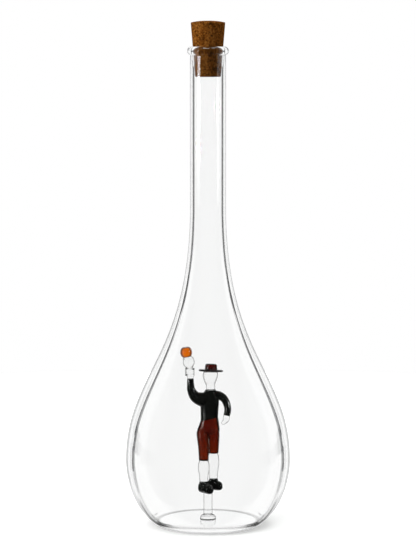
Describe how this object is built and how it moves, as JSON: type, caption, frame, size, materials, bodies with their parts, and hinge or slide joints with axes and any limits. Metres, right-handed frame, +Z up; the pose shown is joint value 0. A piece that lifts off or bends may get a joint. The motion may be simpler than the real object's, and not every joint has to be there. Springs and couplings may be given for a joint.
{
  "type": "figural glass bottle",
  "caption": "Drop-shaped clear glass bottle with a long beaded neck and a pull-out cork, holding a small lamp-worked glass figure on a rod sealed to its base.",
  "frame": {"origin": "centre of the ring that the bottle stands on, at table height", "axes": "+Z up along the bottle's axis, -Y towards the viewer of the picture, +X to that viewer's right"},
  "size_m": [0.1072, 0.1072, 0.3274],
  "materials": {
    "clear_glass": "polished, fire-finished",
    "black_glass": "polished, opaque",
    "brown_glass": "polished, deep red-brown",
    "amber_glass": "polished, orange amber",
    "cork": "matte, with pores"
  },
  "bodies": {
    "bottle": {"bottle_shell": "clear_glass", "base_disc": "clear_glass", "support_rod": "clear_glass", "right_shoe": "black_glass", "right_calf": "clear_glass", "left_shoe": "black_glass", "left_calf": "clear_glass", "breeches": "brown_glass", "jacket": "black_glass", "right_sleeve": "black_glass", "left_sleeve": "black_glass", "right_hand": "clear_glass", "left_hand": "clear_glass", "head": "clear_glass", "hat_brim": "brown_glass", "hat_crown": "brown_glass", "cup_stem": "clear_glass", "cup_bowl": "amber_glass"},
    "stopper": {"cork": "cork"}
  },
  "joints": [
    {"name": "cork_pull", "type": "slide", "parent": "bottle", "child": "stopper", "axis": [0, 0, 1], "range_m": [0, 0.05]}
  ]
}
